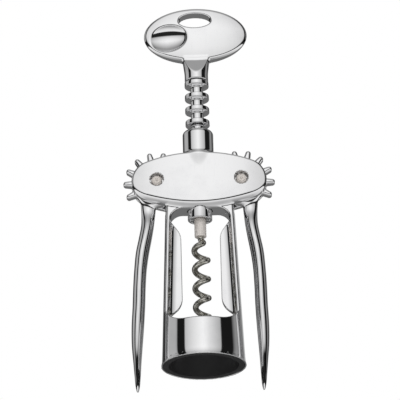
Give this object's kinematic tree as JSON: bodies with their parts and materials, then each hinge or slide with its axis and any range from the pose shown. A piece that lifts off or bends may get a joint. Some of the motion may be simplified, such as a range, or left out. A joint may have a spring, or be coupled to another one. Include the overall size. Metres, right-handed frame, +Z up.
{
  "type": "lever corkscrew",
  "caption": "Lever (wing) corkscrew: geared side levers raise a rack and worm through a bell that sits on the bottle neck; oval knob turns the worm.",
  "frame": {"origin": "on the worm's axis, in the plane of the bell's mouth", "axes": "+Z up along the worm's axis to the knob, +X to the right-hand lever, -Y to the front"},
  "size_m": [0.072, 0.04, 0.1936],
  "materials": {
    "chrome": "bright chromium plate over a zinc casting, polished",
    "pin_steel": "satin turned steel, peened ends",
    "spindle_steel": "plain turned steel",
    "worm_steel": "dark oiled steel wire",
    "ferrule_steel": "satin steel tube",
    "liner_plastic": "black matt moulded plastic"
  },
  "bodies": {
    "frame": {"frame": "chrome", "bell_liner": "liner_plastic", "pivot_pin_left": "pin_steel", "pivot_pin_right": "pin_steel"},
    "lever_left": {"lever_left": "chrome"},
    "lever_right": {"lever_right": "chrome"},
    "rack": {"rack": "chrome"},
    "screw": {"knob": "chrome", "spindle": "spindle_steel", "thrust_washer": "spindle_steel", "worm_ferrule": "ferrule_steel", "worm": "worm_steel"}
  },
  "joints": [
    {"name": "rack_slide", "type": "slide", "parent": "frame", "child": "rack", "axis": [0, 0, -1], "range_m": [0, 0.0315]},
    {"name": "lever_left_pivot", "type": "hinge", "parent": "frame", "child": "lever_left", "pos_m": [-0.02006, 0, 0.0915], "axis": [0, 1, 0], "range_deg": [0, 120.23]},
    {"name": "lever_right_pivot", "type": "hinge", "parent": "frame", "child": "lever_right", "pos_m": [0.02006, 0, 0.0915], "axis": [0, 1, 0], "range_deg": [-120.23, 0]},
    {"name": "handle_turn", "type": "hinge", "parent": "rack", "child": "screw", "pos_m": [0, 0, 0.15], "axis": [0, 0, 1], "continuous": true}
  ],
  "couplings": [
    {"joint": "lever_left_pivot", "follows": "rack_slide", "rad_per_m": 66.587},
    {"joint": "lever_right_pivot", "follows": "rack_slide", "rad_per_m": -66.587}
  ]
}
